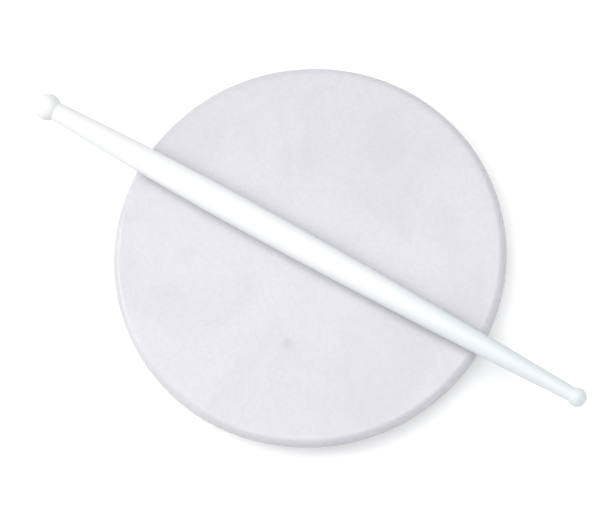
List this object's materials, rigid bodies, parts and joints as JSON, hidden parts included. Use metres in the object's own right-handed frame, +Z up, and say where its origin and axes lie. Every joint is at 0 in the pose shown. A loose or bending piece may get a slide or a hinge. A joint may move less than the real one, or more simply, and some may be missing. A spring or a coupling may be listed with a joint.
{
  "type": "rolling board and pin",
  "caption": "Round polished stone rolling board on turned button feet, with a slim double-tapered rolling pin lying across it that has a ball at each end.",
  "frame": {"origin": "on the board's vertical axis, at the surface that the foot pads stand on", "axes": "+Z up through the middle of the board; +X along the pin, from its thick end towards its slim end; +Y across the pin, level, completing a right-handed frame"},
  "size_m": [0.371, 0.229, 0.0462],
  "materials": {
    "marble": "polished, faint grey clouds",
    "resin": "cured clear epoxy, slightly amber",
    "pad_rubber": "matte light grey",
    "white_plastic": "smooth, softly glossy"
  },
  "bodies": {
    "board": {"board": "marble", "foot_1": "marble", "foot_2": "marble", "foot_3": "marble", "foot_glue_1": "resin", "foot_glue_2": "resin", "foot_glue_3": "resin", "foot_pad_1": "pad_rubber", "foot_pad_2": "pad_rubber", "foot_pad_3": "pad_rubber"},
    "pin": {"pin": "white_plastic"}
  },
  "joints": [
    {"name": "pin_lift", "type": "slide", "parent": "board", "child": "pin", "axis": [0, 0, 1], "range_m": [0, 0.15]}
  ]
}
